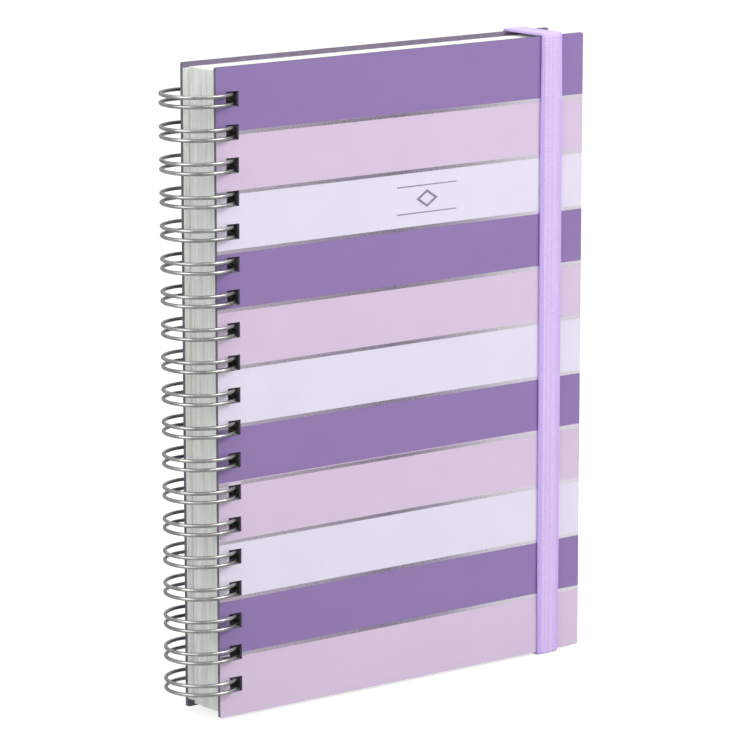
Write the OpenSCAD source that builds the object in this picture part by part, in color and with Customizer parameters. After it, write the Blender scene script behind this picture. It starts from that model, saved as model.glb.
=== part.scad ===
// Wire-bound hardcover day planner with an elastic closing band.
// Frame: +Z up, front cover facing -Y, spine towards -X, origin under the middle of the whole object.
// Inside placed(): x runs from the spine edge, y from the middle plane, z from the covers' bottom edge.

/* [Covers] */
// Width of each cover, spine edge to fore edge
cover_w = 122; // [100:1:160]
// Height of each cover
cover_h = 169; // [130:1:240]
// Thickness of the grey board inside a cover
board_t = 0.7; // [0.6:0.05:2.5]
// Thickness of the printed and laminated sheet on the outer face
face_t = 0.13; // [0.1:0.01:0.3]
// Thickness of the liner sheet on the inner face
liner_t = 0.12; // [0.1:0.01:0.3]

/* [Leaves] */
// Width of every leaf
leaf_w = 117; // [95:1:155]
// How far the leaves stop short of the covers' top edge
leaf_drop = 0.8; // [0.2:0.1:3]
// How far the leaves stop short of the covers' bottom edge
leaf_rise = 1.6; // [0.2:0.1:3]
// Extra distance that the short rear section keeps from both ends
rear_inset = 0.7; // [0:0.1:3]
// Thickness of one paper sheet
sheet_t = 0.0645; // [0.05:0.0005:0.09]
// Sheets in the title section
title_sheets = 2; // [1:1:6]
// Sheets in the year overview
year_sheets = 4; // [2:1:10]
// Sheets in each month
month_sheets = 13; // [8:1:18]
// Sheets in the notes section
notes_sheets = 40; // [10:1:60]
// Thickness of the sticker sheets at the back
sticker_t = 0.3; // [0.2:0.05:0.8]

/* [Wire binding] */
// Diameter of the wire
wire_d = 1.0; // [0.7:0.05:1.3]
// Distance between the two wires of one loop, centre to centre
loop_gap = 2.4; // [2:0.1:3]
// Distance from one loop to the next: three loops an inch
pitch = 8.4667; // [8:0.0001:10]
// Smallest distance from the covers' ends to the middle of the first loop
end_margin = 8; // [6:0.5:14]
// How far in from the spine edge the wire passes through the covers
wire_inset = 5.3; // [5:0.1:8]
// Distance from the spine edge out to the axis of the loops
axis_gap = 0.45; // [0.2:0.05:2]
// Clearance across the page between the wire and its punched hole
hole_clear = 0.55; // [0.2:0.05:0.7]
// Clearance above and below the wires in a punched hole
hole_end_clear = 0.3; // [0.2:0.05:0.6]
// Angle behind the back cover at which the backbone wires end
seam_root = 65; // [64:1:68]
// Angle behind the back cover at which the loop tips begin
seam_tip = 82; // [82:1:100]

/* [Elastic band] */
// Width of the band
band_w = 7.4; // [5:0.1:12]
// Thickness of the band
band_t = 0.8; // [0.5:0.1:1.5]
// Distance from the fore edge to the middle of the band
band_inset = 11.3; // [8:0.1:30]
// Length of band lying on the back before it enters its slot
leg_len = 16; // [14:0.5:40]
// Length of the tail glued inside the cover
tail_len = 12; // [6:0.5:20]
// Thickness of the pressed tail
tail_t = 0.4; // [0.3:0.05:0.5]
// Clearance round the band in its slot
slot_clear = 0.25; // [0.1:0.05:0.5]

/* [Hidden] */
$fn = 48;
EPS = 0.01;
THROUGH = 1;
REBATE_SPARE = 0.05;
PRINT_PURPLE = "#9680B4";
GREY_BOARD = "#8F8B86";
LINER = "#857D90";
PAPER = "#E6E8E2";
NICKEL = "#A6A6A6";
BAND_LILAC = "#D4BEEE";
STICKER = "#F3F1F6";

MONTHS = ["january", "february", "march", "april", "may", "june",
          "july", "august", "september", "october", "november", "december"];

cover_t = face_t + board_t + liner_t;
month_t = month_sheets * sheet_t;
title_t = title_sheets * sheet_t;
year_t = year_sheets * sheet_t;
notes_t = notes_sheets * sheet_t;
leaves_t = title_t + year_t + len(MONTHS) * month_t + notes_t + sticker_t;
book_t = leaves_t + 2 * cover_t;

// Faces of the stack, front to back.
front_y = -book_t / 2;
title_y = front_y + cover_t;
year_y = title_y + title_t;
months_y = year_y + year_t;
notes_y = months_y + len(MONTHS) * month_t;
sticker_y = notes_y + notes_t;
back_y = book_t / 2 - cover_t;

// Loops: as many as the covers' height takes, centred on it.
loops = floor((cover_h - 2 * end_margin) / pitch) + 1;
first_loop_z = (cover_h - (loops - 1) * pitch) / 2;
loop_r = norm([wire_inset + axis_gap, (book_t - cover_t) / 2]);
bend_r = loop_gap / 2;
reach = axis_gap + loop_r + wire_d / 2;

// The wire's inner and outer arcs, at a distance y from the middle plane, measured from the spine edge.
function wire_near(y) = sqrt(pow(loop_r - wire_d / 2, 2) - y * y) - axis_gap;
function wire_far(y) = sqrt(pow(loop_r + wire_d / 2, 2) - y * y) - axis_gap;
cover_hole = [wire_near(book_t / 2) - hole_clear, wire_far(leaves_t / 2) + hole_clear];
leaf_hole = [cover_hole[0], wire_far(0) + hole_clear];
hole_h = loop_gap + wire_d + 2 * hole_end_clear;

// Elastic band.
band_x = cover_w - band_inset - band_w / 2;
slot_x = band_x - slot_clear;
slot_w = band_w + 2 * slot_clear;
slot_h = band_t + 2 * slot_clear;
rebate_t = tail_t + REBATE_SPARE;
rebate_y = back_y + liner_t;

module placed() {
    translate([-(cover_w - reach) / 2, 0, band_t]) children();
}

// Square holes for the wire, from y to y + t, with span = [near edge, far edge].
module punching(y, t, span) {
    for (i = [0 : loops - 1])
        translate([span[0], y - THROUGH, first_loop_z + i * pitch - hole_h / 2])
            cube([span[1] - span[0], t + 2 * THROUGH, hole_h]);
}

// A block of leaves, t thick, whose ends stay a further inset away from the covers' ends.
module leaves(y, t, inset = 0) {
    placed() difference() {
        translate([0, y, leaf_rise + inset])
            cube([leaf_w, t, cover_h - leaf_rise - leaf_drop - 2 * inset]);
        punching(y, t, leaf_hole);
    }
}

// ---- Covers: three sheets glued together, cut flush and punched as one ----

// One sheet of a cover, drawn for the front one, starting a depth below its outer face.
module cover_sheet(depth, t) {
    difference() {
        translate([0, front_y + depth, 0]) cube([cover_w, t, cover_h]);
        punching(front_y + depth, t, cover_hole);
    }
}

module front_face_sheet() {
    color(PRINT_PURPLE) placed() cover_sheet(0, face_t);
}

module front_board() {
    color(GREY_BOARD) placed() cover_sheet(face_t, board_t);
}

module front_liner() {
    color(LINER) placed() cover_sheet(face_t + board_t, liner_t);
}

// Runs its children at the top end, and mirrored at the bottom end.
module top_and_bottom() {
    children();
    translate([0, 0, cover_h]) mirror([0, 0, 1]) children();
}

module band_slot() {
    translate([slot_x, rebate_y, cover_h - leg_len - slot_h])
        cube([slot_w, cover_t, slot_h]);
}

module tail_rebate() {
    translate([slot_x, rebate_y - THROUGH, cover_h - leg_len - tail_len - slot_clear])
        cube([slot_w, rebate_t + THROUGH, tail_len + slot_clear]);
}

module back_board() {
    color(GREY_BOARD) placed() difference() {
        mirror([0, 1, 0]) cover_sheet(face_t, board_t);
        top_and_bottom() band_slot();
        top_and_bottom() tail_rebate();
    }
}

module back_face_sheet() {
    color(PRINT_PURPLE) placed() difference() {
        mirror([0, 1, 0]) cover_sheet(0, face_t);
        top_and_bottom() band_slot();
    }
}

module back_liner() {
    color(LINER) placed() mirror([0, 1, 0]) cover_sheet(face_t + board_t, liner_t);
}

// ---- Leaves ----

module title_leaves() {
    color(PAPER) leaves(title_y, title_t);
}

module year_leaves() {
    color(PAPER) leaves(year_y, year_t);
}

module month_leaves(index) {
    color(PAPER) leaves(months_y + index * month_t, month_t);
}

module notes_leaves() {
    color(PAPER) leaves(notes_y, notes_t, rear_inset);
}

module sticker_leaves() {
    color(STICKER) leaves(sticker_y, sticker_t, rear_inset);
}

// ---- Wire binding: x of a loop's own frame is radial, y runs round the loop, z along the spine ----

module at_angle(angle) {
    rotate([0, 0, angle]) translate([loop_r, 0, 0]) children();
}

// A bent piece of wire in the plane that touches the loop, turning from one angle through another.
module wire_bend(start, turn) {
    rotate([90, 0, 90]) rotate([0, 0, start])
        rotate_extrude(angle = turn) translate([bend_r, 0]) circle(d = wire_d);
}

module loop_wires() {
    for (side = [-1, 1])
        translate([0, 0, side * loop_gap / 2])
            rotate([0, 0, seam_tip])
                rotate_extrude(angle = 360 - (seam_tip - seam_root))
                    translate([loop_r, 0]) circle(d = wire_d);
    at_angle(seam_tip) wire_bend(90, 180);
}

// The link from one loop's upper wire to the next loop's lower wire.
module loop_link() {
    at_angle(seam_root) {
        translate([0, 0, loop_gap / 2 + bend_r]) wire_bend(-90, 90);
        translate([0, bend_r, loop_gap / 2 + bend_r])
            cylinder(h = pitch - loop_gap - 2 * bend_r, d = wire_d);
        translate([0, 0, pitch - loop_gap / 2 - bend_r]) wire_bend(0, 90);
    }
}

module binding_wire() {
    color(NICKEL) placed() translate([-axis_gap, 0, first_loop_z]) {
        for (i = [0 : loops - 1])
            translate([0, 0, i * pitch]) loop_wires();
        for (i = [0 : loops - 2])
            translate([0, 0, i * pitch]) loop_link();
    }
}

// ---- Elastic band ----

// A rounded outer corner of the band, over the cover's edge at y and z.
module band_corner(y, z) {
    intersection() {
        translate([band_x, y, z]) rotate([0, 90, 0]) cylinder(h = band_w, r = band_t);
        translate([band_x, y > 0 ? y : y - band_t, z > 0 ? z : z - band_t])
            cube([band_w, band_t, band_t]);
    }
}

module elastic_loop() {
    color(BAND_LILAC) placed() {
        translate([band_x, front_y - band_t, 0]) cube([band_w, band_t, cover_h]);
        for (z = [-band_t, cover_h])
            translate([band_x, front_y, z]) cube([band_w, book_t, band_t]);
        for (y = [front_y, -front_y], z = [0, cover_h])
            band_corner(y, z);
    }
}

// One fixed end of the band: down the back, through the slot, and along the rebate in the board.
module band_end() {
    translate([band_x, -front_y, cover_h - leg_len - slot_clear - band_t])
        cube([band_w, band_t, leg_len + slot_clear + band_t]);
    translate([band_x, rebate_y, cover_h - leg_len - slot_clear - band_t])
        cube([band_w, -front_y - rebate_y + EPS, band_t]);
    translate([band_x, rebate_y, cover_h - leg_len - tail_len])
        cube([band_w, tail_t, tail_len - slot_clear]);
}

module elastic_top_end() {
    color(BAND_LILAC) placed() band_end();
}

module elastic_bottom_end() {
    color(BAND_LILAC) placed() translate([0, 0, cover_h]) mirror([0, 0, 1]) band_end();
}

front_face_sheet();
front_board();
front_liner();
title_leaves();
year_leaves();
for (m = [0 : len(MONTHS) - 1])
    month_leaves(m);
notes_leaves();
sticker_leaves();
back_liner();
back_board();
back_face_sheet();
binding_wire();
elastic_loop();
elastic_top_end();
elastic_bottom_end();
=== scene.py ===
"""A wire-bound hardcover day planner with an elastic closing band: its visible pieces, finishes and studio.

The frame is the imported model's: +Z up, the front cover facing -Y, the spine towards -X, in metres.
"""

from __future__ import annotations

import logging
import math
import random
from dataclasses import dataclass, field
from enum import Enum
from typing import Any, Callable, Iterable

import bmesh
import bpy
from mathutils import Matrix, Vector


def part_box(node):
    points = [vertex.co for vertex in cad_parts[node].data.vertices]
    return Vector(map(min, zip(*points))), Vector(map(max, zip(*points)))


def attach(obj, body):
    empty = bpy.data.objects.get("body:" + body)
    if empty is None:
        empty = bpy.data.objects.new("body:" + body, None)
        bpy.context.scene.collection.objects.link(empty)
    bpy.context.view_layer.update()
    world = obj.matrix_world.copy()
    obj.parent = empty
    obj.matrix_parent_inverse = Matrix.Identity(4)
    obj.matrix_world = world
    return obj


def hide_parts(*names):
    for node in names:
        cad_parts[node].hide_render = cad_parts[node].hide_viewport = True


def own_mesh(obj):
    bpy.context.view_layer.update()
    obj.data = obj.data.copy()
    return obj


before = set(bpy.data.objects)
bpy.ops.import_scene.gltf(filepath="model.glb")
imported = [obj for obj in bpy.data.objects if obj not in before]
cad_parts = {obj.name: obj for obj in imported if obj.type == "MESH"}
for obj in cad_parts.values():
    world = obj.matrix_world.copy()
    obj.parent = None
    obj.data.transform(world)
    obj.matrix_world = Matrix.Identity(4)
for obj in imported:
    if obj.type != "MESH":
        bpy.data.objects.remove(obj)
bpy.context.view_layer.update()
LOG = logging.getLogger("planner")
MM = 0.001


# ---------------------------------------------------------------- colours and nodes


def linear(code: str) -> tuple[float, float, float, float]:
    """Turns an sRGB hex colour to the linear values that shaders take.

    Args:
        code: the colour as "#RRGGBB".

    Returns:
        Red, green, blue and an alpha of one.
    """
    parts = [int(code[i : i + 2], 16) / 255 for i in (1, 3, 5)]
    red, green, blue = (c / 12.92 if c <= 0.04045 else ((c + 0.055) / 1.055) ** 2.4 for c in parts)
    return red, green, blue, 1.0


Inputs = dict[str | int, Any] | Iterable[Any]


class Nodes:
    """A node tree, and the one way that nodes are added to it."""

    def __init__(self, tree: bpy.types.NodeTree) -> None:
        """Takes the tree.

        Args:
            tree: the node tree.
        """
        self.tree = tree

    def plug(self, node: bpy.types.Node, inputs: Inputs) -> None:
        """Sets or links a node's inputs.

        Args:
            node: the node.
            inputs: plain values, hex colours, output sockets, or nodes that give their first output,
                by the input's name or index, or in order.
        """
        for key, term in inputs.items() if isinstance(inputs, dict) else enumerate(inputs):
            if isinstance(term, bpy.types.Node):
                term = next(socket for socket in term.outputs if socket.enabled)
            if isinstance(term, bpy.types.NodeSocket):
                self.tree.links.new(term, node.inputs[key])
            else:
                node.inputs[key].default_value = linear(term) if isinstance(term, str) else term

    def add(
        self,
        kind: str,
        inputs: Inputs = (),
        stops: Iterable[tuple[float, str]] = (),
        step: bool = False,
        **settings: Any,
    ) -> bpy.types.Node:
        """Adds one node with its settings, its inputs and, where it has a ramp, the ramp's stops.

        Args:
            kind: the node's type name, without "ShaderNode".
            inputs: what its inputs take.
            stops: a ramp's positions and hex colours, in rising order.
            step: hard edges between the ramp's colours instead of blends.
            **settings: the node's own attributes.

        Returns:
            The new node.
        """
        node = self.tree.nodes.new(f"ShaderNode{kind}")
        for name, value in settings.items():
            setattr(node, name, value)
        self.plug(node, inputs)
        stops = list(stops)
        if stops:
            ramp = node.color_ramp
            ramp.interpolation = "CONSTANT" if step else "LINEAR"
            while len(ramp.elements) < len(stops):
                ramp.elements.new(0.5)
            for element, (place, code) in zip(ramp.elements, stops):
                element.position = place
                element.color = linear(code)
        return node


class Draft(Nodes):
    """A new material with its shader and the coordinates that its patterns read."""

    def __init__(self, name: str, **shader: Any) -> None:
        """Starts the material.

        Args:
            name: the material's name.
            **shader: the shader's uniform values, with underscores for spaces in a socket's name.
        """
        self.material = bpy.data.materials.new(name)
        self.material.use_nodes = True
        super().__init__(self.material.node_tree)
        self.shader = self.tree.nodes["Principled BSDF"]
        self.feed(**shader)
        self.coords = self.add("TexCoord").outputs
        self.place = self.coords["Object"]

    def feed(self, **inputs: Any) -> None:
        """Sets or links the shader's inputs.

        Args:
            **inputs: what they take, with underscores for spaces in a socket's name.
        """
        self.plug(self.shader, {key.replace("_", " "): term for key, term in inputs.items()})


# ---------------------------------------------------------------- finishes


@dataclass(frozen=True)
class LaminatedPrint:
    """Offset-printed cover paper under a matt film: flat ink colours with a soft, slightly broken sheen."""

    name: str = "matt_laminated_print"
    bottom: float = 0.8 * MM
    height: float = 169 * MM
    first_band: float = 17.0 * MM
    band: float = 15.1 * MM
    purple: str = "#8B73AA"
    pink: str = "#D3C0D9"
    lavender: str = "#E1DAEB"
    cloud: str = "#B9B2C4"

    def boundaries(self) -> list[float]:
        """Gives the heights where one band of colour meets the next, from the top down."""
        top = self.bottom + self.height
        return [top - self.first_band - i * self.band for i in range(10)]

    def build(self) -> bpy.types.Material:
        """Makes the material: bands by height, ink clouds of 17 mm, and film grain coarse enough to show."""
        draft = Draft(self.name, Specular_IOR_Level=0.4, IOR=1.5, Coat_Weight=0.12, Coat_Roughness=0.35)
        order = [self.purple, self.pink, self.lavender]
        edges = sorted((z - self.bottom) / self.height for z in self.boundaries())
        colours = [order[i % 3] for i in range(len(edges) + 1)][::-1]
        rise = draft.add("SeparateXYZ", [draft.place]).outputs["Z"]
        share = draft.add("MapRange", [rise, self.bottom, self.bottom + self.height])
        bands = draft.add("ValToRGB", [share], zip([0.0, *edges], colours), step=True)
        cloud = draft.add("TexNoise", {0: draft.place, "Scale": 60, "Detail": 3})
        faint = draft.add("Math", [draft.add("MapRange", [cloud, 0.35, 0.65]), 0.05], operation="MULTIPLY")
        inked = draft.add("Mix", {0: faint, 6: bands, 7: self.cloud}, data_type="RGBA", blend_type="MULTIPLY")
        grain = draft.add("TexNoise", {0: draft.place, "Scale": 3400})
        draft.feed(
            Base_Color=inked,
            Roughness=draft.add("MapRange", [grain, 0.3, 0.7, 0.38, 0.47]),
            Normal=draft.add("Bump", {"Height": grain, "Distance": 0.004 * MM, "Strength": 0.35}),
        )
        return draft.material


@dataclass(frozen=True)
class CutBoard:
    """Grey binder's board as a guillotine leaves it: dark, matt and faintly streaked with fibre."""

    name: str = "cut_grey_board"
    dark: str = "#5F5B68"
    pale: str = "#75717D"

    def build(self) -> bpy.types.Material:
        """Makes the material: fibre layers 0.15 mm apart through the board's thickness."""
        draft = Draft(self.name, Roughness=0.85, Specular_IOR_Level=0.25)
        layers = draft.add("Mapping", {"Vector": draft.place, "Scale": (900, 6500, 420)})
        fibre = draft.add("TexNoise", {"Vector": layers, "Scale": 1.0, "Detail": 4})
        share = draft.add("MapRange", [fibre, 0.3, 0.7])
        draft.feed(
            Base_Color=draft.add("Mix", {0: share, 6: self.dark, 7: self.pale}, data_type="RGBA"),
            Normal=draft.add("Bump", {"Height": fibre, "Distance": 0.03 * MM, "Strength": 0.6}),
        )
        return draft.material


@dataclass(frozen=True)
class LinerPaper:
    """Uncoated dyed liner paper pasted inside a cover: soft grey-purple with a felt-side tooth."""

    name: str = "dyed_liner_paper"
    deep: str = "#766D83"
    light: str = "#837A91"

    def build(self) -> bpy.types.Material:
        """Makes the material: paper clouds of 2 mm, and a tooth of 0.25 mm, coarse enough to show."""
        draft = Draft(self.name, Roughness=0.72, Specular_IOR_Level=0.3)
        cloud = draft.add("TexNoise", {0: draft.place, "Scale": 480, "Detail": 4})
        share = draft.add("MapRange", [cloud, 0.3, 0.7])
        tooth = draft.add("TexNoise", {0: draft.place, "Scale": 4000})
        draft.feed(
            Base_Color=draft.add("Mix", {0: share, 6: self.deep, 7: self.light}, data_type="RGBA"),
            Normal=draft.add("Bump", {"Height": tooth, "Distance": 0.01 * MM, "Strength": 0.5}),
        )
        return draft.material


@dataclass(frozen=True)
class HotFoil:
    """Silver hot-stamping foil: a bright, thin metal film, with a painted reflection that runs dark and light
    across the cover.
    """

    name: str = "silver_hot_foil"
    left: float = -56 * MM
    right: float = 66 * MM
    # Painted reflection: base colours from the spine side, through dark mid-width, to near white at the fore
    # edge.
    painted_reflection_tones: tuple[tuple[float, str], ...] = (
        (0.0, "#C4BBC8"), (0.2, "#B2A8B8"), (0.45, "#938A9C"),
        (0.62, "#ADA4B4"), (0.82, "#E2DCE6"), (1.0, "#EDE8F0"),
    )

    def build(self) -> bpy.types.Material:
        """Makes the material: a painted reflection, dark around mid-width and near white at the fore edge,
        drifting slowly, with a fine press mottle.
        """
        draft = Draft(self.name, Metallic=1.0)
        slow = draft.add("Mapping", {"Vector": draft.place, "Scale": (45, 45, 9)})
        waver = draft.add("TexNoise", {"Vector": slow, "Scale": 1.0})
        painted_reflection_drift = draft.add("Math", [waver, 0.16, -0.08], operation="MULTIPLY_ADD")
        side = draft.add("SeparateXYZ", [draft.place]).outputs["X"]
        share = draft.add("MapRange", [side, self.left, self.right])
        across = draft.add("Math", [share, painted_reflection_drift], operation="ADD")
        mottle = draft.add("TexNoise", {0: draft.place, "Scale": 2600})
        draft.feed(
            # The base colour carries the painted reflection across the width.
            Base_Color=draft.add("ValToRGB", [across], self.painted_reflection_tones),
            Roughness=draft.add("MapRange", [mottle, 0.3, 0.7, 0.24, 0.36]),
        )
        return draft.material


class Page(Enum):
    """What a section's pages are printed with."""

    PLAIN = "plain"
    RULED = "ruled"
    STICKERS = "stickers"


@dataclass(frozen=True)
class LeafPaper:
    """Wood-free offset paper: a warm white page, printed according to its section.

    The printed areas are pairs of distances, from the leaf's left edge or down from its top.
    """

    page: Page
    white: str = "#F1F1EE"
    shade: str = "#CFCDC9"
    rule: str = "#B9B2C6"
    lilac: str = "#CDBFE0"
    left: float = -55.9 * MM
    top: float = 169.0 * MM
    printed: tuple[float, float] = (13 * MM, 111 * MM)
    head: tuple[float, float] = (7 * MM, 13 * MM)
    ruled: tuple[float, float] = (20 * MM, 162 * MM)
    line_pitch: float = 7 * MM
    line_t: float = 0.28 * MM
    dotted: tuple[float, float] = (8 * MM, 160 * MM)
    grid: float = 16 * MM
    dot: float = 0.37
    dots: tuple[tuple[float, str], ...] = ((0.0, "#957CB3"), (0.3, "#D8C4DF"), (0.6, "#C9BFE0"))

    def build(self) -> bpy.types.Material:
        """Makes the material: bare, ruled under a lilac head band, or with 12 mm round stickers."""
        draft = Draft(f"offset_paper_{self.page.value}", Roughness=0.78, Specular_IOR_Level=0.3)
        cloud = draft.add("TexNoise", {0: draft.place, "Scale": 700, "Detail": 3})
        faint = draft.add("Math", [draft.add("MapRange", [cloud, 0.3, 0.7]), 0.05], operation="MULTIPLY")
        colour = draft.add("Mix", {0: faint, 6: self.white, 7: self.shade}, data_type="RGBA")
        if self.page is Page.RULED:
            rise = draft.add("SeparateXYZ", [draft.place]).outputs["Z"]
            down = draft.add("Math", [self.top, rise], operation="SUBTRACT")
            step = draft.add("Math", [down, self.line_pitch], operation="MODULO")
            line = draft.add("Math", [step, self.line_t], operation="LESS_THAN")
            inked = draft.add("Math", [line, self.area(draft, self.ruled)], operation="MULTIPLY")
            colour = draft.add("Mix", {0: inked, 6: colour, 7: self.rule}, data_type="RGBA")
            head = self.area(draft, self.head)
            colour = draft.add("Mix", {0: head, 6: colour, 7: self.lilac}, data_type="RGBA")
        if self.page is Page.STICKERS:
            per_metre = (1 / self.grid, 1.0, 1 / self.grid)
            cells = draft.add("Mapping", {"Vector": draft.place, "Scale": per_metre})
            cell = draft.add("SeparateXYZ", [cells]).outputs
            squares = []
            for name in ("X", "Z"):
                within = draft.add("Math", [cell[name]], operation="FRACT")
                off = draft.add("Math", [within, 0.5], operation="SUBTRACT")
                squares.append(draft.add("Math", [off, off], operation="MULTIPLY"))
            gap = draft.add("Math", [draft.add("Math", squares, operation="ADD")], operation="SQRT")
            row = draft.add("Math", [cell["Z"]], operation="FLOOR")
            third = draft.add("Math", [row, 1 / 3], operation="MULTIPLY")
            turn = draft.add("Math", [third], operation="FRACT")
            tint = draft.add("ValToRGB", [turn], self.dots, step=True)
            disc = draft.add("Math", [gap, self.dot], operation="LESS_THAN")
            inked = draft.add("Math", [disc, self.area(draft, self.dotted)], operation="MULTIPLY")
            colour = draft.add("Mix", {0: inked, 6: colour, 7: tint}, data_type="RGBA")
        tooth = draft.add("TexNoise", {0: draft.place, "Scale": 5000})
        relief = draft.add("Bump", {"Height": tooth, "Distance": 0.006 * MM, "Strength": 0.4})
        draft.feed(Base_Color=colour, Normal=relief)
        return draft.material

    def area(self, draft: Draft, rows: tuple[float, float]) -> bpy.types.Node:
        """Marks the printed width between two distances from the leaf's top.

        Args:
            draft: the material.
            rows: the two distances.

        Returns:
            A node that gives one inside the area and zero outside.
        """
        spot = draft.add("SeparateXYZ", [draft.place]).outputs
        down = draft.add("Math", [self.top, spot["Z"]], operation="SUBTRACT")
        across = draft.add("Math", [spot["X"], self.left], operation="SUBTRACT")
        bounds = []
        for distance, (low, high) in ((down, rows), (across, self.printed)):
            past = draft.add("Math", [distance, low], operation="GREATER_THAN")
            short = draft.add("Math", [distance, high], operation="LESS_THAN")
            bounds.append(draft.add("Math", [past, short], operation="MULTIPLY"))
        return draft.add("Math", bounds, operation="MULTIPLY")


@dataclass(frozen=True)
class CutPaper:
    """The guillotined edge of a paper block: cool white with thin grey streaks of painted shade where sheets
    part.
    """

    name: str = "cut_paper_edges"
    pale: str = "#EFF1EE"
    # Painted shade: the grey of the gaps where sheets part.
    painted_parting_shade: str = "#C6CAC6"

    def build(self) -> bpy.types.Material:
        """Makes the material: painted shade streaks 0.35 mm apart through the stack, broken along it every 20
        mm or so.
        """
        draft = Draft(self.name, Roughness=0.82, Specular_IOR_Level=0.25)
        through = draft.add("Mapping", {"Vector": draft.place, "Scale": (45, 2900, 45)})
        layers = draft.add("TexNoise", {"Vector": through, "Scale": 1.0, "Detail": 3})
        along = draft.add("Mapping", {"Vector": draft.place, "Scale": (120, 900, 120)})
        patches = draft.add("TexNoise", {"Vector": along, "Scale": 1.0})
        # Painted shade: grey lines through the stack where sheets part.
        parting_shade_lines = draft.add("MapRange", [layers, 0.42, 0.66])
        broken = draft.add("MapRange", [patches, 0.35, 0.6, 0.25, 1.0])
        both = draft.add("Math", [parting_shade_lines, broken], operation="MULTIPLY")
        draft.feed(
            Base_Color=draft.add("Mix", {0: both, 6: self.pale, 7: self.painted_parting_shade}, data_type="RGBA"),
            Normal=draft.add("Bump", {"Height": layers, "Distance": 0.05 * MM, "Strength": 0.6}),
        )
        return draft.material


@dataclass(frozen=True)
class NickelWire:
    """Nickel-plated steel binding wire: cool grey metal, bright on its crowns, with fine draw marks."""

    name: str = "nickel_plated_wire"
    bright: str = "#A9AAA7"
    dull: str = "#868784"

    def build(self) -> bpy.types.Material:
        """Makes the material: plating that varies over about 3 mm and scuffs of about 0.3 mm."""
        draft = Draft(self.name, Metallic=1.0)
        plate = draft.add("TexNoise", {0: draft.place, "Scale": 330, "Detail": 3})
        share = draft.add("MapRange", [plate, 0.3, 0.7])
        scuff = draft.add("TexNoise", {0: draft.place, "Scale": 3200})
        draft.feed(
            Base_Color=draft.add("Mix", {0: share, 6: self.bright, 7: self.dull}, data_type="RGBA"),
            Roughness=draft.add("MapRange", [scuff, 0.3, 0.7, 0.24, 0.38]),
            Normal=draft.add("Bump", {"Height": scuff, "Distance": 0.004 * MM, "Strength": 0.5}),
        )
        return draft.material


@dataclass(frozen=True)
class WovenElastic:
    """Woven polyester elastic: lilac cross ribs over rubber cores, with a tighter, deeper hem each side."""

    name: str = "woven_elastic"
    centre: str = "#D8C0F2"
    hem: str = "#C3A9EA"
    # Painted shade for the grooves between ribs.
    groove_painted_shade: str = "#C3ABE2"
    width: float = 7.4 * MM
    rib: float = 0.62 * MM
    thread: float = 0.4 * MM
    hem_w: float = 1.2 * MM
    hem_blend: float = 0.15 * MM

    def build(self) -> bpy.types.Material:
        """Makes the material: ribs along the band, finer threads across it, painted shade in the grooves
        between ribs, and a hem at each side.
        """
        draft = Draft(
            self.name, Roughness=0.78, Specular_IOR_Level=0.25, Sheen_Weight=0.25, Sheen_Roughness=0.5
        )
        strap = draft.add("SeparateXYZ", [draft.coords["UV"]]).outputs
        parts = []
        for name, pitch, share in (("Y", self.rib, 0.88), ("X", self.thread, 0.12)):
            turns = draft.add("Math", [strap[name], 2 * math.pi / pitch], operation="MULTIPLY")
            wave = draft.add("Math", [turns], operation="SINE")
            parts.append(draft.add("Math", [wave, share], operation="MULTIPLY"))
        weave = draft.add("Math", parts, operation="ADD")
        half = self.width / 2
        off = draft.add("Math", [strap["X"], half], operation="SUBTRACT")
        side = draft.add("Math", [off], operation="ABSOLUTE")
        start = half - self.hem_w
        hem = draft.add("MapRange", [side, start - self.hem_blend, start + self.hem_blend])
        # Painted shade: the low points of the weave take the darker groove colour.
        deep = draft.add("MapRange", [weave, -1.0, 0.4, 0.4, 0.0])
        colour = draft.add("Mix", {0: deep, 6: self.centre, 7: self.groove_painted_shade}, data_type="RGBA")
        # Each hem takes three quarters of the darker hem colour.
        hem_mix = draft.add("Math", [hem, 0.75], operation="MULTIPLY")
        draft.feed(
            Base_Color=draft.add("Mix", {0: hem_mix, 6: colour, 7: self.hem}, data_type="RGBA"),
            Normal=draft.add("Bump", {"Height": weave, "Distance": 0.06 * MM, "Strength": 0.6}),
        )
        return draft.material


# ---------------------------------------------------------------- making meshes


@dataclass(frozen=True)
class Window:
    """A rectangular opening through a sheet."""

    low_x: float
    high_x: float
    low_z: float
    high_z: float

    def holds(self, point: Vector) -> bool:
        """Says whether a point lies inside, seen along Y."""
        return self.low_x < point.x < self.high_x and self.low_z < point.z < self.high_z

    def planes(self) -> list[tuple[tuple[float, float, float], tuple[float, float, float]]]:
        """Gives the four cutting planes of its sides."""
        upright = [((x, 0.0, 0.0), (1.0, 0.0, 0.0)) for x in (self.low_x, self.high_x)]
        level = [((0.0, 0.0, z), (0.0, 0.0, 1.0)) for z in (self.low_z, self.high_z)]
        return upright + level


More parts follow.
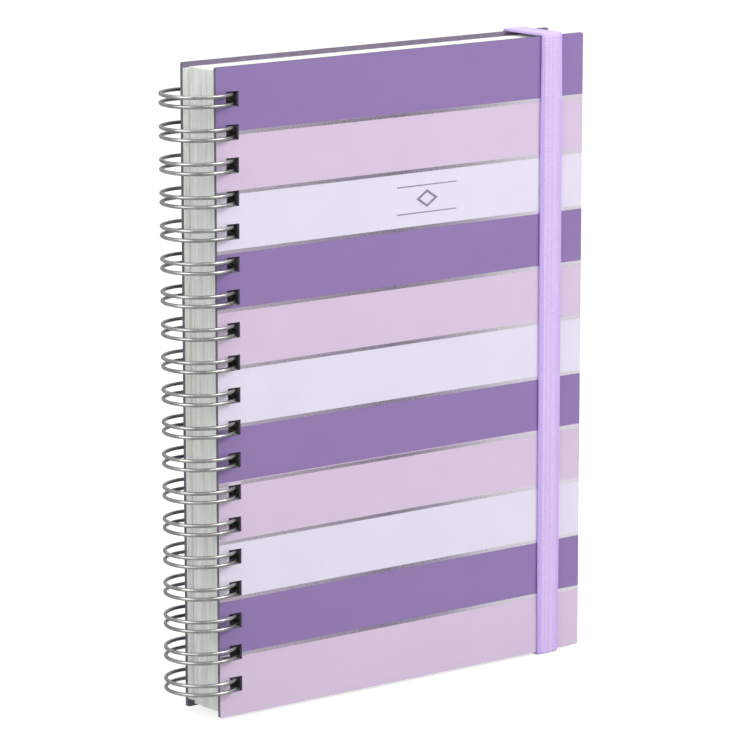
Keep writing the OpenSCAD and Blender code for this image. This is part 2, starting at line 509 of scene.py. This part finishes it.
def cut_panel(
    low: Vector,
    high: Vector,
    windows: Iterable[Window] = (),
    corner: float = 0.0,
    pockets: Iterable[Window] = (),
    pocket_depth: float = 0.0,
) -> bmesh.types.BMesh:
    """Makes a flat panel whose thickness runs along Y, with square openings and blind pockets.

    Args:
        low: its lowest corner.
        high: its highest corner.
        windows: the openings through it.
        corner: the radius of its four corners.
        pockets: the pockets sunk into its -Y face.
        pocket_depth: how deep the pockets go.

    Returns:
        A closed bmesh.
    """
    windows, pockets = list(windows), list(pockets)
    bm = bmesh.new()
    bmesh.ops.create_grid(bm, x_segments=1, y_segments=1, size=0.5)
    size, middle = high - low, (high + low) / 2
    bmesh.ops.rotate(bm, cent=(0, 0, 0), matrix=Matrix.Rotation(math.pi / 2, 3, "X"), verts=bm.verts)
    bmesh.ops.scale(bm, vec=(size.x, 1, size.z), verts=bm.verts)
    bmesh.ops.translate(bm, vec=(middle.x, low.y, middle.z), verts=bm.verts)
    if corner:
        bmesh.ops.bevel(
            bm, geom=bm.verts[:], offset=corner, segments=6, profile=0.5, affect="VERTICES", material=-1
        )
    for place, normal in sorted({plane for w in windows + pockets for plane in w.planes()}):
        geom = bm.verts[:] + bm.edges[:] + bm.faces[:]
        bmesh.ops.bisect_plane(bm, geom=geom, plane_co=place, plane_no=normal, dist=1e-7)
    gone = [f for f in bm.faces if any(w.holds(f.calc_center_median()) for w in windows)]
    bmesh.ops.delete(bm, geom=gone, context="FACES")
    bmesh.ops.solidify(bm, geom=bm.faces[:], thickness=size.y)
    bmesh.ops.recalc_face_normals(bm, faces=bm.faces)
    bmesh.ops.translate(bm, vec=(0, low.y - min(v.co.y for v in bm.verts), 0), verts=bm.verts)
    for pocket in pockets:
        floor = [f for f in bm.faces if f.normal.y < -0.5 and pocket.holds(f.calc_center_median())]
        made = bmesh.ops.extrude_face_region(bm, geom=floor)["geom"]
        verts = [g for g in made if isinstance(g, bmesh.types.BMVert)]
        bmesh.ops.translate(bm, vec=(0, pocket_depth, 0), verts=verts)
        bmesh.ops.delete(bm, geom=[f for f in floor if f.is_valid], context="FACES")
    return bm


class Sweep:
    """A closed outline led along straights and bends, as a wire or a strap is."""

    def __init__(self, outline: bmesh.types.BMesh) -> None:
        """Starts at an outline.

        Args:
            outline: a bmesh that holds only the outline's edges.
        """
        self.bm = outline
        self.ring = outline.edges[:]

    def take_end(self, made: Iterable[Any]) -> None:
        """Makes the newest outline the open end.

        Args:
            made: what the last operator gave back.
        """
        verts = {g for g in made if isinstance(g, bmesh.types.BMVert)}
        edges = (g for g in made if isinstance(g, bmesh.types.BMEdge))
        self.ring = [e for e in edges if set(e.verts) <= verts and len(e.link_faces) == 1]

    def straight(self, way: Vector, steps: int = 1) -> None:
        """Leads the outline straight on.

        Args:
            way: the whole way.
            steps: the pieces it is made in.
        """
        for _ in range(steps):
            made = bmesh.ops.extrude_edge_only(self.bm, edges=self.ring)["geom"]
            verts = [g for g in made if isinstance(g, bmesh.types.BMVert)]
            bmesh.ops.translate(self.bm, vec=way / steps, verts=verts)
            self.take_end(made)

    def bend(self, centre: Vector, axis: Vector, angle: float, steps: int) -> None:
        """Leads the outline round a bend.

        Args:
            centre: a point of the bend's axis.
            axis: the bend's axis.
            angle: how far it turns.
            steps: the straight pieces that make the bend.
        """
        verts = list({v for e in self.ring for v in e.verts})
        geom = verts + self.ring
        made = bmesh.ops.spin(
            self.bm, geom=geom, cent=centre, axis=axis, angle=angle, steps=steps, use_duplicate=False
        )
        self.take_end(made["geom_last"])

    def close(self) -> bmesh.types.BMesh:
        """Caps both ends and turns the faces outwards."""
        bmesh.ops.holes_fill(self.bm, edges=[e for e in self.bm.edges if e.is_boundary], sides=0)
        bmesh.ops.recalc_face_normals(self.bm, faces=self.bm.faces)
        return self.bm


def put(bm: bmesh.types.BMesh, mesh: bpy.types.Mesh, move: Vector) -> None:
    """Adds a moved copy of a mesh to a bmesh.

    Args:
        bm: what it joins.
        mesh: the mesh.
        move: how far it moves.
    """
    count = len(bm.verts)
    bm.from_mesh(mesh)
    bm.verts.ensure_lookup_table()
    bmesh.ops.translate(bm, vec=move, verts=bm.verts[count:])


def as_mesh(bm: bmesh.types.BMesh) -> bpy.types.Mesh:
    """Turns a bmesh into a scratch mesh, and frees it."""
    mesh = bpy.data.meshes.new("scratch")
    bm.to_mesh(mesh)
    bm.free()
    return mesh


def finish_piece(
    bm: bmesh.types.BMesh,
    name: str,
    materials: list[bpy.types.Material],
    body: str,
    nodes: Iterable[str] = (),
    side: Callable[[bmesh.types.BMFace], int] | None = None,
    smooth: bool = False,
) -> bpy.types.Object:
    """Turns a bmesh into a dressed piece that rides its body.

    Args:
        bm: the mesh, freed here.
        name: the piece's name.
        materials: its materials.
        body: the body it moves with.
        nodes: the CAD nodes it stands for.
        side: which of the materials a face takes.
        smooth: shade it smooth.

    Returns:
        The new object, at the origin.
    """
    for face in bm.faces:
        face.smooth = smooth
        if side:
            face.material_index = side(face)
    mesh = bpy.data.meshes.new(name)
    bm.to_mesh(mesh)
    bm.free()
    for material in materials:
        mesh.materials.append(material)
    piece = bpy.data.objects.new(name, mesh)
    bpy.context.scene.collection.objects.link(piece)
    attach(piece, body)
    if nodes:
        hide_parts(*nodes)
    LOG.info("%s: %d faces, rides %s", name, len(mesh.polygons), body)
    return piece


def facing_y(face: bmesh.types.BMFace) -> int:
    """Gives 0 for a face that looks along Y and 1 for a cut edge."""
    return 0 if abs(face.normal.y) > 0.5 else 1


# ---------------------------------------------------------------- binding measures


@dataclass
class Binding:
    """The measures that the covers, leaves and wire share."""

    wire_d: float = 1.0 * MM
    gap: float = 2.4 * MM
    pitch: float = 8.4667 * MM
    loops: int = 19
    cover_t: float = 0.95 * MM
    axis_gap: float = 0.45 * MM
    inset: float = 5.3 * MM
    clear: float = 0.55 * MM
    end_clear: float = 0.3 * MM

    def __post_init__(self) -> None:
        """Reads the covers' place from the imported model."""
        low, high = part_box("front_board")
        self.spine, self.bottom, self.height = low.x, low.z, high.z - low.z
        self.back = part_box("back_face_sheet")[1].y

    @property
    def axis_x(self) -> float:
        """Gives the X of the loops' axis."""
        return self.spine - self.axis_gap

    @property
    def radius(self) -> float:
        """Gives the radius of the loops' centre line."""
        return math.hypot(self.inset + self.axis_gap, self.back - self.cover_t / 2)

    @property
    def middles(self) -> tuple[float, ...]:
        """Gives the height of each loop's middle."""
        first = self.bottom + (self.height - (self.loops - 1) * self.pitch) / 2
        return tuple(first + i * self.pitch for i in range(self.loops))

    def punching(self, outer: float, inner: float) -> list[Window]:
        """Gives the holes of a stack whose faces lie between two distances from the middle plane.

        Args:
            outer: the stack's far face, as a distance from the middle plane.
            inner: its near face.

        Returns:
            The row of holes.
        """
        near = math.sqrt((self.radius - self.wire_d / 2) ** 2 - outer**2) + self.axis_x - self.clear
        far = math.sqrt((self.radius + self.wire_d / 2) ** 2 - inner**2) + self.axis_x + self.clear
        half = (self.gap + self.wire_d) / 2 + self.end_clear
        return [Window(near, far, z - half, z + half) for z in self.middles]


# ---------------------------------------------------------------- covers


class Side(Enum):
    """Which of the two covers."""

    FRONT = "front"
    BACK = "back"


@dataclass(frozen=True)
class Ornament:
    """The measures of a lozenge between two thin rules; its place is a share of the cover's width."""

    place: float = 0.56
    rule_w: float = 20 * MM
    rule_h: float = 0.3 * MM
    rule_off: float = 3.6 * MM
    radius: float = 2.4 * MM
    line: float = 0.55 * MM
    stretch: float = 1.5


@dataclass
class Cover:
    """One flush-cut cover: printed face sheet, grey board and liner, with foil rules on its outer face."""

    side: Side
    binding: Binding
    print_finish: LaminatedPrint = field(default_factory=LaminatedPrint)
    corner: float = 0.5 * MM
    rule_h: float = 0.95 * MM
    foil_t: float = 0.02 * MM
    slot_spare: float = 0.25 * MM
    slot_start: float = 16 * MM
    slot_end: float = 17.3 * MM
    pocket_end: float = 28.25 * MM
    pocket_depth: float = 0.45 * MM

    def __post_init__(self) -> None:
        """Works out the holes and the body that the cover belongs to."""
        self.body = f"{self.side.value}_cover"
        self.holes = self.binding.punching(self.binding.back, self.binding.back - self.binding.cover_t)

    def build(self, finishes: dict[str, bpy.types.Material]) -> None:
        """Makes the three sheets, the rules and, on the front, the ornament.

        Args:
            finishes: the materials by name.
        """
        name = self.side.value
        for node, slot, face in (
            (f"{name}_face_sheet", "cover_print", "print"),
            (f"{name}_board", "grey_board", "board"),
            (f"{name}_liner", "liner", "liner"),
        ):
            low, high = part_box(node)
            slots, pockets = self.slots(node)
            bm = cut_panel(low, high, self.holes + slots, self.corner, pockets, self.pocket_depth)
            sides = [finishes[face], finishes["board"]]
            finish_piece(bm, f"{node}_cut", sides, self.body, [node], facing_y)
        self.rules(finishes["foil"])
        if self.side is Side.FRONT:
            self.ornament(finishes["foil"])

    def slots(self, node: str) -> tuple[list[Window], list[Window]]:
        """Gives the slots that the elastic enters, and the pockets that hold its glued tails.

        Args:
            node: the sheet of the cover.

        Returns:
            The slots through the sheet and the pockets in its inner face.
        """
        if self.side is Side.FRONT or node.endswith("liner"):
            return [], []
        low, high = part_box("elastic_loop")
        bottom, top = self.binding.bottom, self.binding.bottom + self.binding.height
        left, right = low.x - self.slot_spare, high.x + self.slot_spare
        slots, pockets = (
            [Window(left, right, top - end, top - start), Window(left, right, bottom + start, bottom + end)]
            for start, end in ((self.slot_start, self.slot_end), (self.slot_end, self.pocket_end))
        )
        return slots, pockets if node.endswith("board") else []

    def foil_panel(
        self, bm: bmesh.types.BMesh, low_x: float, high_x: float, low_z: float, high_z: float
    ) -> None:
        """Adds one flat foil strip to a mesh, on the cover's outer face.

        Args:
            bm: the mesh it joins.
            low_x: its left edge.
            high_x: its right edge.
            low_z: its lower edge.
            high_z: its upper edge.
        """
        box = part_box(f"{self.side.value}_face_sheet")
        front = self.side is Side.FRONT
        y = box[0].y - self.foil_t if front else box[1].y
        size = Vector((high_x - low_x, self.foil_t, high_z - low_z))
        middle = Vector(((low_x + high_x) / 2, y + self.foil_t / 2, (low_z + high_z) / 2))
        bmesh.ops.create_cube(bm, size=1.0, matrix=Matrix.Translation(middle) @ Matrix.Diagonal((*size, 1)))

    def rules(self, foil: bpy.types.Material) -> None:
        """Makes the foil rules, broken where a hole is punched through them.

        Args:
            foil: the foil's material.
        """
        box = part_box(f"{self.side.value}_face_sheet")
        bm = bmesh.new()
        for z in self.print_finish.boundaries():
            low_z, high_z = z - self.rule_h / 2, z + self.rule_h / 2
            if any(w.low_z < high_z and low_z < w.high_z for w in self.holes):
                self.foil_panel(bm, box[0].x, self.holes[0].low_x, low_z, high_z)
                self.foil_panel(bm, self.holes[0].high_x, box[1].x, low_z, high_z)
            else:
                self.foil_panel(bm, box[0].x, box[1].x, low_z, high_z)
        finish_piece(bm, f"{self.side.value}_foil_rules", [foil], self.body)

    def ornament(self, foil: bpy.types.Material) -> None:
        """Makes a small generic ornament on the third band: a lozenge between two thin rules.

        Args:
            foil: the foil's material.
        """
        low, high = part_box("front_face_sheet")
        lines = self.print_finish.boundaries()
        shape = Ornament()
        z, x = (lines[1] + lines[2]) / 2, low.x + shape.place * (high.x - low.x)
        bm = bmesh.new()
        for off in (-shape.rule_off, shape.rule_off):
            low_z, high_z = z + off - shape.rule_h / 2, z + off + shape.rule_h / 2
            self.foil_panel(bm, x - shape.rule_w / 2, x + shape.rule_w / 2, low_z, high_z)
        lozenge = bmesh.new()
        bmesh.ops.create_circle(lozenge, cap_ends=True, segments=4, radius=shape.radius)
        upright = Matrix.Rotation(math.pi / 2, 3, "X")
        bmesh.ops.rotate(lozenge, cent=(0, 0, 0), matrix=upright, verts=lozenge.verts)
        bmesh.ops.inset_region(
            lozenge, faces=lozenge.faces[:], thickness=shape.line, use_boundary=True, use_even_offset=True
        )
        centre = min(lozenge.faces, key=lambda f: f.calc_center_median().length)
        bmesh.ops.delete(lozenge, geom=[centre], context="FACES")
        bmesh.ops.solidify(lozenge, geom=lozenge.faces[:], thickness=self.foil_t)
        bmesh.ops.recalc_face_normals(lozenge, faces=lozenge.faces)
        bmesh.ops.scale(lozenge, vec=(shape.stretch, 1, 1), verts=lozenge.verts)
        lift = low.y - max(v.co.y for v in lozenge.verts)
        bmesh.ops.translate(lozenge, vec=(x, lift, z), verts=lozenge.verts)
        put(bm, as_mesh(lozenge), Vector((0, 0, 0)))
        finish_piece(bm, "front_foil_ornament", [foil], self.body)


# ---------------------------------------------------------------- leaves


@dataclass(frozen=True)
class Section:
    """One section of leaves, as it is stacked in the planner."""

    node: str
    sheets: int
    body: str
    page: Page
    slot: str = "leaf_paper"


MONTH_NAMES = (
    "january", "february", "march", "april", "may", "june",
    "july", "august", "september", "october", "november", "december",
)


def section_list() -> list[Section]:
    """Gives the sections from the front of the planner to its back."""
    early, late = "earlier_leaves", "later_leaves"
    months = [Section(m, 13, early if i < 6 else late, Page.RULED) for i, m in enumerate(MONTH_NAMES)]
    return [
        Section("title_leaves", 2, early, Page.PLAIN),
        Section("year_leaves", 4, early, Page.RULED),
        *months,
        Section("notes_leaves", 40, late, Page.RULED),
        Section("sticker_leaves", 2, late, Page.STICKERS, "sticker_paper"),
    ]


@dataclass
class LeafBlock:
    """All the leaves: every sheet is its own thin solid, jogged a hair out of line with the next."""

    binding: Binding
    share: float = 0.86
    jog: float = 0.14 * MM
    parting: float = 0.7 * MM
    parted: int = 7
    seed: int = 24

    def build(self, papers: dict[Page, bpy.types.Material], edge: bpy.types.Material) -> None:
        """Makes one piece per section.

        Args:
            papers: the page materials by what is printed.
            edge: the material of the cut edges.
        """
        holes = self.binding.punching(self.binding.back, 0.0)
        draw = random.Random(self.seed)
        for section in section_list():
            low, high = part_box(section.node)
            step = (high.y - low.y) / section.sheets
            template = cut_panel(low, Vector((high.x, low.y + step * self.share, high.z)), holes)
            mesh = as_mesh(template)
            bm = bmesh.new()
            for i in range(section.sheets):
                loose = section.node == "notes_leaves" and i < self.parted
                parting = draw.uniform(0.3, 1.0) * self.parting if loose else 0.0
                jog = draw.uniform(0, self.jog) + parting
                put(bm, mesh, Vector((jog, step * i, draw.uniform(-self.jog, self.jog) / 2)))
            bpy.data.meshes.remove(mesh)
            finish_piece(
                bm, f"{section.node}_sheets", [papers[section.page], edge], section.body,
                [section.node], facing_y,
            )


# ---------------------------------------------------------------- wire


@dataclass
class LoopWire:
    """The double-loop binding wire: one unbroken serpentine of round wire."""

    binding: Binding
    root: float = math.radians(65)
    tip: float = math.radians(82)
    sides: int = 12
    turn_steps: int = 64
    tip_steps: int = 12
    corner_steps: int = 6
    weld: float = 0.002 * MM

    def build(self, nickel: bpy.types.Material) -> None:
        """Bends one loop and one link, sets them in a row and joins them into one wire.

        Args:
            nickel: the wire's material.
        """
        b = self.binding
        loop, link = as_mesh(self.bend_loop()), as_mesh(self.bend_link())
        bm = bmesh.new()
        for i, z in enumerate(b.middles):
            put(bm, loop, Vector((b.axis_x, 0, z)))
            if i < b.loops - 1:
                put(bm, link, Vector((b.axis_x, 0, z)))
        bmesh.ops.remove_doubles(bm, verts=bm.verts, dist=self.weld)
        whole = Sweep(bm).close()
        finish_piece(
            whole, "binding_wire_coil", [nickel], "back_cover", ["binding_wire"], smooth=True
        )

    def outward(self, angle: float) -> Vector:
        """Gives the direction from the loops' axis at an angle."""
        return Vector((math.cos(angle), math.sin(angle), 0))

    def outline(self, height: float) -> Sweep:
        """Starts a wire at the root, at a height from the loop's middle."""
        bm = bmesh.new()
        out = Matrix.Translation((0, 0, height)) @ Matrix.Rotation(self.root, 4, "Z")
        place = out @ Matrix.Translation((self.binding.radius, 0, 0)) @ Matrix.Rotation(math.pi / 2, 4, "X")
        bmesh.ops.create_circle(bm, segments=self.sides, radius=self.binding.wire_d / 2, matrix=place)
        return Sweep(bm)

    def bend_loop(self) -> bmesh.types.BMesh:
        """Makes one double loop: once round, over the tip, and back."""
        b, up = self.binding, Vector((0, 0, 1))
        wire = self.outline(-b.gap / 2)
        full = 2 * math.pi - (self.tip - self.root)
        wire.bend(Vector(), up, -full, self.turn_steps)
        wire.bend(self.outward(self.tip) * b.radius, self.outward(self.tip), -math.pi, self.tip_steps)
        wire.bend(Vector(), up, full, self.turn_steps)
        return wire.bm

    def bend_link(self) -> bmesh.types.BMesh:
        """Makes the link from one loop's upper end to the next loop's lower end."""
        b, out = self.binding, self.outward(self.root)
        wire = self.outline(b.gap / 2)
        wire.bend(out * b.radius + Vector((0, 0, b.gap)), out, math.pi / 2, self.corner_steps)
        wire.straight(Vector((0, 0, b.pitch - 2 * b.gap)))
        wire.bend(out * b.radius + Vector((0, 0, b.pitch - b.gap)), out, math.pi / 2, self.corner_steps)
        return wire.bm


# ---------------------------------------------------------------- elastic


@dataclass
class ElasticBand:
    """The closing band: a woven loop round the front, and two fixed ends on the back cover."""

    crown: float = 0.1 * MM
    hem: float = 0.26 * MM
    seat: float = 0.04 * MM
    leg: float = 16.25 * MM
    tail: float = 12 * MM
    tail_t: float = 0.4 * MM
    pinch: float = 0.07
    pinch_reach: float = 14 * MM
    bend_steps: int = 6
    short_steps: int = 8
    long_steps: int = 60
    cross_cuts: int = 9

    def __post_init__(self) -> None:
        """Reads the band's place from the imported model."""
        self.low, self.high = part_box("elastic_loop")
        self.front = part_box("front_face_sheet")[0].y
        self.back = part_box("back_face_sheet")[1].y
        self.bottom, self.top = (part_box("front_face_sheet")[i].z for i in (0, 1))
        self.thick = self.high.z - self.top

    def build(self, webbing: bpy.types.Material) -> None:
        """Makes the loop, on a mesh of its own, and its two fixed ends.

        Args:
            webbing: the elastic's material.
        """
        loop = finish_piece(
            self.weave(self.loop()), "elastic_band_loop", [webbing], "closing_band",
            ["elastic_loop"], smooth=True,
        )
        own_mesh(loop)
        middle = Vector((0, 0, (self.bottom + self.top) / 2))
        upside_down = Matrix.Scale(-1, 4, (0, 0, 1))
        mirrored = Matrix.Translation(middle) @ upside_down @ Matrix.Translation(-middle)
        for name in ("top", "bottom"):
            bm = self.fixed_end()
            if name == "bottom":
                bmesh.ops.transform(bm, matrix=mirrored, verts=bm.verts)
                bmesh.ops.recalc_face_normals(bm, faces=bm.faces)
            finish_piece(
                self.weave(bm), f"elastic_{name}_fixed_end", [webbing], "back_cover",
                [f"elastic_{name}_end"], smooth=True,
            )

    def outline(self) -> Sweep:
        """Starts a strap at the back cover's top edge, its inner face on the cover, rounded at both hems."""
        bm = bmesh.new()
        bmesh.ops.create_grid(bm, x_segments=1, y_segments=1, size=0.5)
        width, thick = self.high.x - self.low.x, self.thick - self.seat
        bmesh.ops.scale(bm, vec=(width, thick, 1), verts=bm.verts)
        bmesh.ops.bevel(
            bm, geom=bm.verts[:], offset=self.hem, segments=3, profile=0.5, affect="VERTICES", material=-1
        )
        long = [e for e in bm.edges if e.calc_length() > width / 2]
        bmesh.ops.subdivide_edges(bm, edges=long, cuts=self.cross_cuts)
        for vert in bm.verts:
            if vert.co.y > 0:
                vert.co.y -= self.crown * (2 * vert.co.x / width) ** 2
        bmesh.ops.delete(bm, geom=bm.faces[:], context="FACES_ONLY")
        place = ((self.low.x + self.high.x) / 2, self.back + self.seat + thick / 2, self.top)
        bmesh.ops.translate(bm, vec=place, verts=bm.verts)
        return Sweep(bm)

    def loop(self) -> bmesh.types.BMesh:
        """Makes the loop: over the top, down the front, under the bottom, to the back again."""
        strap, axis, quarter = self.outline(), Vector((1, 0, 0)), math.pi / 2
        depth, height = self.back - self.front, self.top - self.bottom
        for y, z, way, steps in (
            (self.back, self.top, (0, -depth, 0), self.short_steps),
            (self.front, self.top, (0, 0, -height), self.long_steps),
            (self.front, self.bottom, (0, depth, 0), self.short_steps),
        ):
            strap.bend(Vector((0, y, z)), axis, quarter, self.bend_steps)
            strap.straight(Vector(way), steps)
        strap.bend(Vector((0, self.back, self.bottom)), axis, quarter, self.bend_steps)
        bm = strap.close()
        self.pinch_in(bm)
        return bm

    def pinch_in(self, bm: bmesh.types.BMesh) -> None:
        """Draws a strap in where it turns over the covers' top and bottom edges.

        Args:
            bm: the strap.
        """
        centre = (self.low.x + self.high.x) / 2
        for vert in bm.verts:
            near = min(abs(vert.co.z - self.top), abs(vert.co.z - self.bottom)) / self.pinch_reach
            vert.co.x = centre + (vert.co.x - centre) * (1 - self.pinch * math.exp(-near * near))

    def fixed_end(self) -> bmesh.types.BMesh:
        """Makes the top end: down the back, in through its slot, and flat under the liner."""
        strap = self.outline()
        strap.straight(Vector((0, 0, -self.leg)), self.short_steps)
        corner = Vector((0, self.back, self.top - self.leg))
        strap.bend(corner, Vector((1, 0, 0)), -math.pi / 2, self.bend_steps)
        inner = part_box("back_board")[0].y
        strap.straight(Vector((0, inner - self.back, 0)))
        bm = strap.close()
        self.pinch_in(bm)
        end = self.top - self.leg - self.thick
        size = Vector((self.high.x - self.low.x, self.tail_t, self.tail - self.thick))
        place = Vector(((self.low.x + self.high.x) / 2, inner + self.tail_t / 2, end - size.z / 2))
        bmesh.ops.create_cube(bm, size=1.0, matrix=Matrix.Translation(place) @ Matrix.Diagonal((*size, 1)))
        return bm

    def weave(self, bm: bmesh.types.BMesh) -> bmesh.types.BMesh:
        """Gives the strap a UV map in metres: across it from its left hem, and along it.

        Args:
            bm: the strap.

        Returns:
            The same bmesh.
        """
        layer = bm.loops.layers.uv.new("UVMap")
        for face in bm.faces:
            for corner in face.loops:
                at = corner.vert.co
                along = min(max(at.z, self.bottom), self.top)
                if at.z >= self.top:
                    along += at.y - self.front
                elif at.z <= self.bottom:
                    along -= at.y - self.front
                elif at.y > self.back:
                    along = self.top + self.back - self.front + self.top - at.z
                corner[layer].uv = (at.x - self.low.x, along)
        return bm


# ---------------------------------------------------------------- studio


WHITE = "#FFFFFF"


@dataclass(frozen=True)
class Lamp:
    """A square softbox: where it hangs, the side of its face in metres and its power in watts."""

    name: str
    place: tuple[float, float, float]
    size: float
    power: float


@dataclass
class Studio:
    """A pale floor, a white surround, three soft lamps and the camera."""

    lamps: tuple[Lamp, ...] = (
        Lamp("key_lamp", (0.6, -0.75, 0.9), 0.8, 13.5),
        Lamp("side_lamp", (-1.5, -0.25, 0.75), 1.1, 17.0),
        Lamp("top_lamp", (0.0, 0.25, 1.7), 1.2, 7.0),
    )
    aim: tuple[float, float, float] = (0.0, 0.0, 0.085)
    soft_light: float = 0.38
    reflected: tuple[tuple[float, str], ...] = (
        (0.0, "#7A7A7C"), (0.3, "#8E8E90"), (0.6, "#E4E4E4"), (1.0, WHITE),
    )
    floor_size: float = 6.0
    floor_lit: tuple[float, ...] = (0.5, 0.5, 0.5, 1.0)
    floor_shown: tuple[float, ...] = (0.4, 0.4, 0.4, 1.0)
    floor_lift: float = 0.78
    floor_reflected: float = 0.86
    lens: float = 208.0
    sensor: float = 36.0
    stand: tuple[float, float, float] = (-0.6949, -0.88005, 0.30659)
    turn: float = math.radians(38.336)
    tilt: float = math.radians(11.267)

    def build(self) -> None:
        """Sets the whole studio up."""
        self.world()
        self.floor()
        for lamp in self.lamps:
            self.hang(lamp)
        self.camera()

    def world(self) -> None:
        """Makes a surround that lights softly, is white to the camera, and grey to white in reflections."""
        world = bpy.data.worlds.new("surround")
        bpy.context.scene.world = world
        world.use_nodes = True
        world.node_tree.nodes.clear()
        nodes = Nodes(world.node_tree)
        path = nodes.add("LightPath").outputs
        seen = [path["Is Camera Ray"], path["Is Transmission Ray"]]
        clear = nodes.add("Math", seen, operation="MAXIMUM")
        sky = nodes.add("SeparateXYZ", [nodes.add("TexCoord").outputs["Generated"]]).outputs["Z"]
        rise = nodes.add("MapRange", [sky, -0.1, 0.5])
        soft = nodes.add("Background", {"Color": WHITE, "Strength": self.soft_light})
        tent = nodes.add("ValToRGB", [rise], self.reflected)
        mirrored = nodes.add("Background", {"Color": tent, "Strength": 1.0})
        white = nodes.add("Background", {"Color": WHITE, "Strength": 1.0})
        mixed = nodes.add("MixShader", [path["Is Glossy Ray"], soft, mirrored])
        nodes.add("OutputWorld", [nodes.add("MixShader", [clear, mixed, white])])

    def floor(self) -> None:
        """Lays a pale paper floor that keeps the shadow and meets the surround without a line."""
        bm = bmesh.new()
        bmesh.ops.create_grid(bm, x_segments=1, y_segments=1, size=self.floor_size)
        mesh = bpy.data.meshes.new("floor")
        bm.to_mesh(mesh)
        bm.free()
        floor = bpy.data.objects.new("floor", mesh)
        bpy.context.scene.collection.objects.link(floor)
        material = bpy.data.materials.new("floor_paper")
        material.use_nodes = True
        material.node_tree.nodes.clear()
        nodes = Nodes(material.node_tree)
        path = nodes.add("LightPath").outputs
        matt = nodes.add("BsdfDiffuse", {"Color": self.floor_lit})
        pale = nodes.add("BsdfDiffuse", {"Color": self.floor_shown})
        lift = nodes.add("Emission", {"Color": WHITE, "Strength": self.floor_lift})
        both = nodes.add("AddShader", [pale, lift])
        mirrored = nodes.add("Emission", {"Color": WHITE, "Strength": self.floor_reflected})
        mixed = nodes.add("MixShader", [path["Is Camera Ray"], matt, both])
        nodes.add("OutputMaterial", [nodes.add("MixShader", [path["Is Glossy Ray"], mixed, mirrored])])
        mesh.materials.append(material)

    def hang(self, lamp: Lamp) -> None:
        """Hangs one softbox that looks at the planner.

        Args:
            lamp: the softbox.
        """
        data = bpy.data.lights.new(lamp.name, "AREA")
        data.shape, data.size, data.energy = "SQUARE", lamp.size, lamp.power
        hung = bpy.data.objects.new(lamp.name, data)
        hung.location = lamp.place
        look = Vector(self.aim) - Vector(lamp.place)
        hung.rotation_euler = look.to_track_quat("-Z", "Y").to_euler()
        bpy.context.scene.collection.objects.link(hung)

    def camera(self) -> None:
        """Stands the camera left of the front cover, a little above it, and looks slightly down."""
        data = bpy.data.cameras.new("camera")
        data.lens, data.sensor_width = self.lens, self.sensor
        camera = bpy.data.objects.new("camera", data)
        level = math.cos(self.tilt)
        look = Vector((math.sin(self.turn) * level, math.cos(self.turn) * level, -math.sin(self.tilt)))
        camera.location = self.stand
        camera.rotation_euler = look.to_track_quat("-Z", "Y").to_euler()
        bpy.context.scene.collection.objects.link(camera)
        bpy.context.scene.camera = camera
        bpy.context.scene.view_settings.view_transform = "Standard"


def main() -> None:
    """Builds the planner and its studio."""
    logging.basicConfig(level=logging.INFO, format="%(name)s: %(message)s")
    finishes = {
        "print": LaminatedPrint().build(),
        "board": CutBoard().build(),
        "liner": LinerPaper().build(),
        "foil": HotFoil().build(),
    }
    binding = Binding()
    Studio().build()
    Cover(Side.FRONT, binding).build(finishes)
    Cover(Side.BACK, binding).build(finishes)
    papers = {page: LeafPaper(page).build() for page in Page}
    LeafBlock(binding).build(papers, CutPaper().build())
    LoopWire(binding).build(NickelWire().build())
    ElasticBand().build(WovenElastic().build())


if __name__ == "__main__":
    main()
